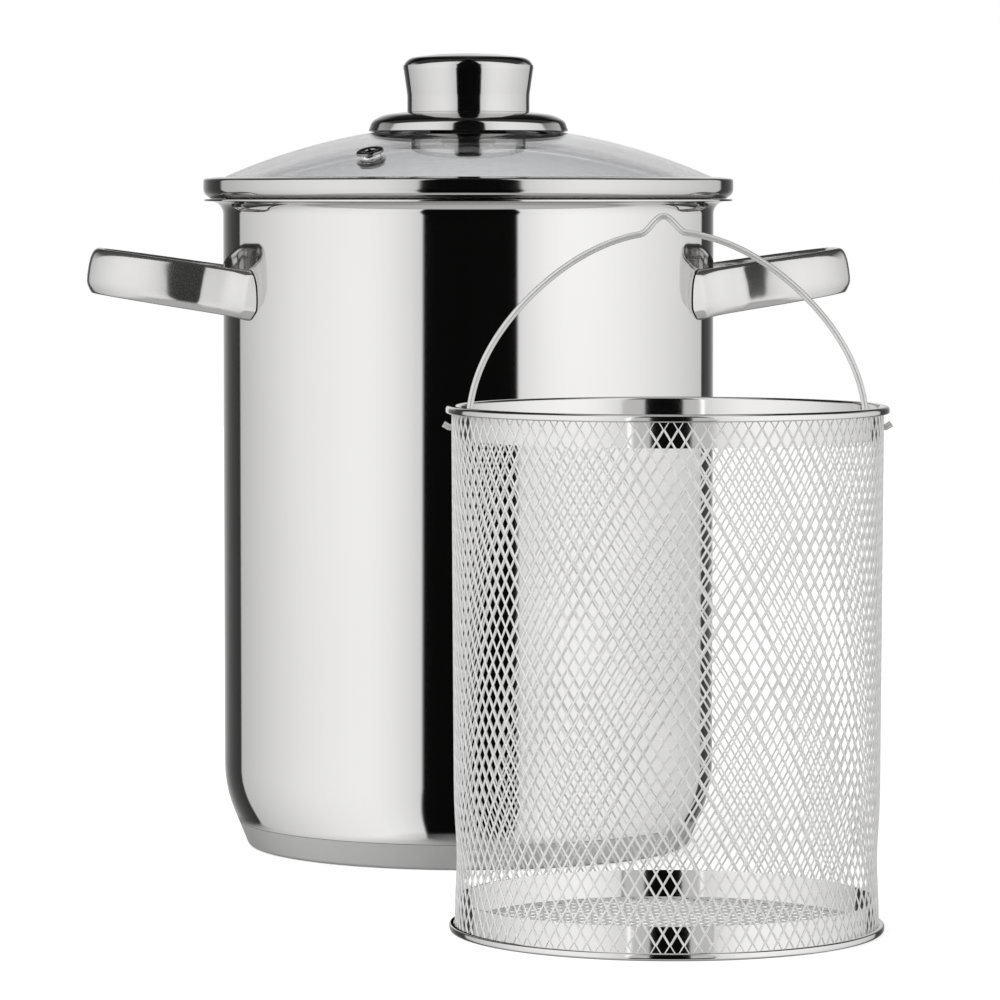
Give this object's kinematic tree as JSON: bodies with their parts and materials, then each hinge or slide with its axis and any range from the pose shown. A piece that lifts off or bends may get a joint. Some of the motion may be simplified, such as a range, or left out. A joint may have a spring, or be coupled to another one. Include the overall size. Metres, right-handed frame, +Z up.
{
  "type": "asparagus pot",
  "caption": "Tall steel pot with two loop handles, a glass lid with a steel rim and knob, and a mesh basket with a wire bail.",
  "frame": {"origin": "centre of the pot's flat base, on the floor it stands on", "axes": "+Z up along the pot's axis; the pot's handles lie 3.5 degrees round from X, as they stand in the picture; the basket stands on the -Y side, its bail's pivots along X"},
  "size_m": [0.2514, 0.3547, 0.2607],
  "materials": {
    "polished_steel": "mirror-polished stainless steel",
    "satin_steel": "satin turned stainless steel",
    "cast_steel": "tumble-polished cast stainless steel",
    "core_aluminium": "plain pressed disc",
    "lid_glass": "clear toughened glass",
    "plated_steel": "plain bright steel",
    "silicone": "matte grey silicone",
    "mesh_steel": "electropolished expanded steel mesh",
    "wire_steel": "bright drawn stainless wire"
  },
  "bodies": {
    "pot": {"pot_wall": "polished_steel", "pot_foot": "polished_steel", "pot_lip": "polished_steel", "base_cap": "satin_steel", "base_core": "core_aluminium", "handle_right": "cast_steel", "handle_left": "cast_steel"},
    "lid": {"lid_glass": "lid_glass", "lid_rim_band": "polished_steel", "vent_eyelet": "polished_steel", "vent_ring": "polished_steel", "knob_base_plate": "polished_steel", "knob_shell": "polished_steel", "knob_boss": "plated_steel", "knob_gasket_upper": "silicone", "knob_gasket_lower": "silicone", "knob_washer": "plated_steel", "knob_screw": "plated_steel"},
    "basket": {"basket_mesh_wall": "mesh_steel", "basket_mesh_floor": "mesh_steel", "basket_top_rim": "polished_steel", "basket_bottom_rim": "polished_steel"},
    "bail": {"bail_wire": "wire_steel"}
  },
  "joints": [
    {"name": "lid_lift", "type": "slide", "parent": "pot", "child": "lid", "axis": [0, 0, 1], "range_m": [0, 0.25]},
    {"name": "basket_lift", "type": "slide", "parent": "pot", "child": "basket", "axis": [0, 0, 1], "range_m": [0, 0.3]},
    {"name": "bail_swing", "type": "hinge", "parent": "basket", "child": "bail", "pos_m": [0.0591, -0.203, 0.1471], "axis": [1, 0, 0], "range_deg": [-82, 82]}
  ]
}
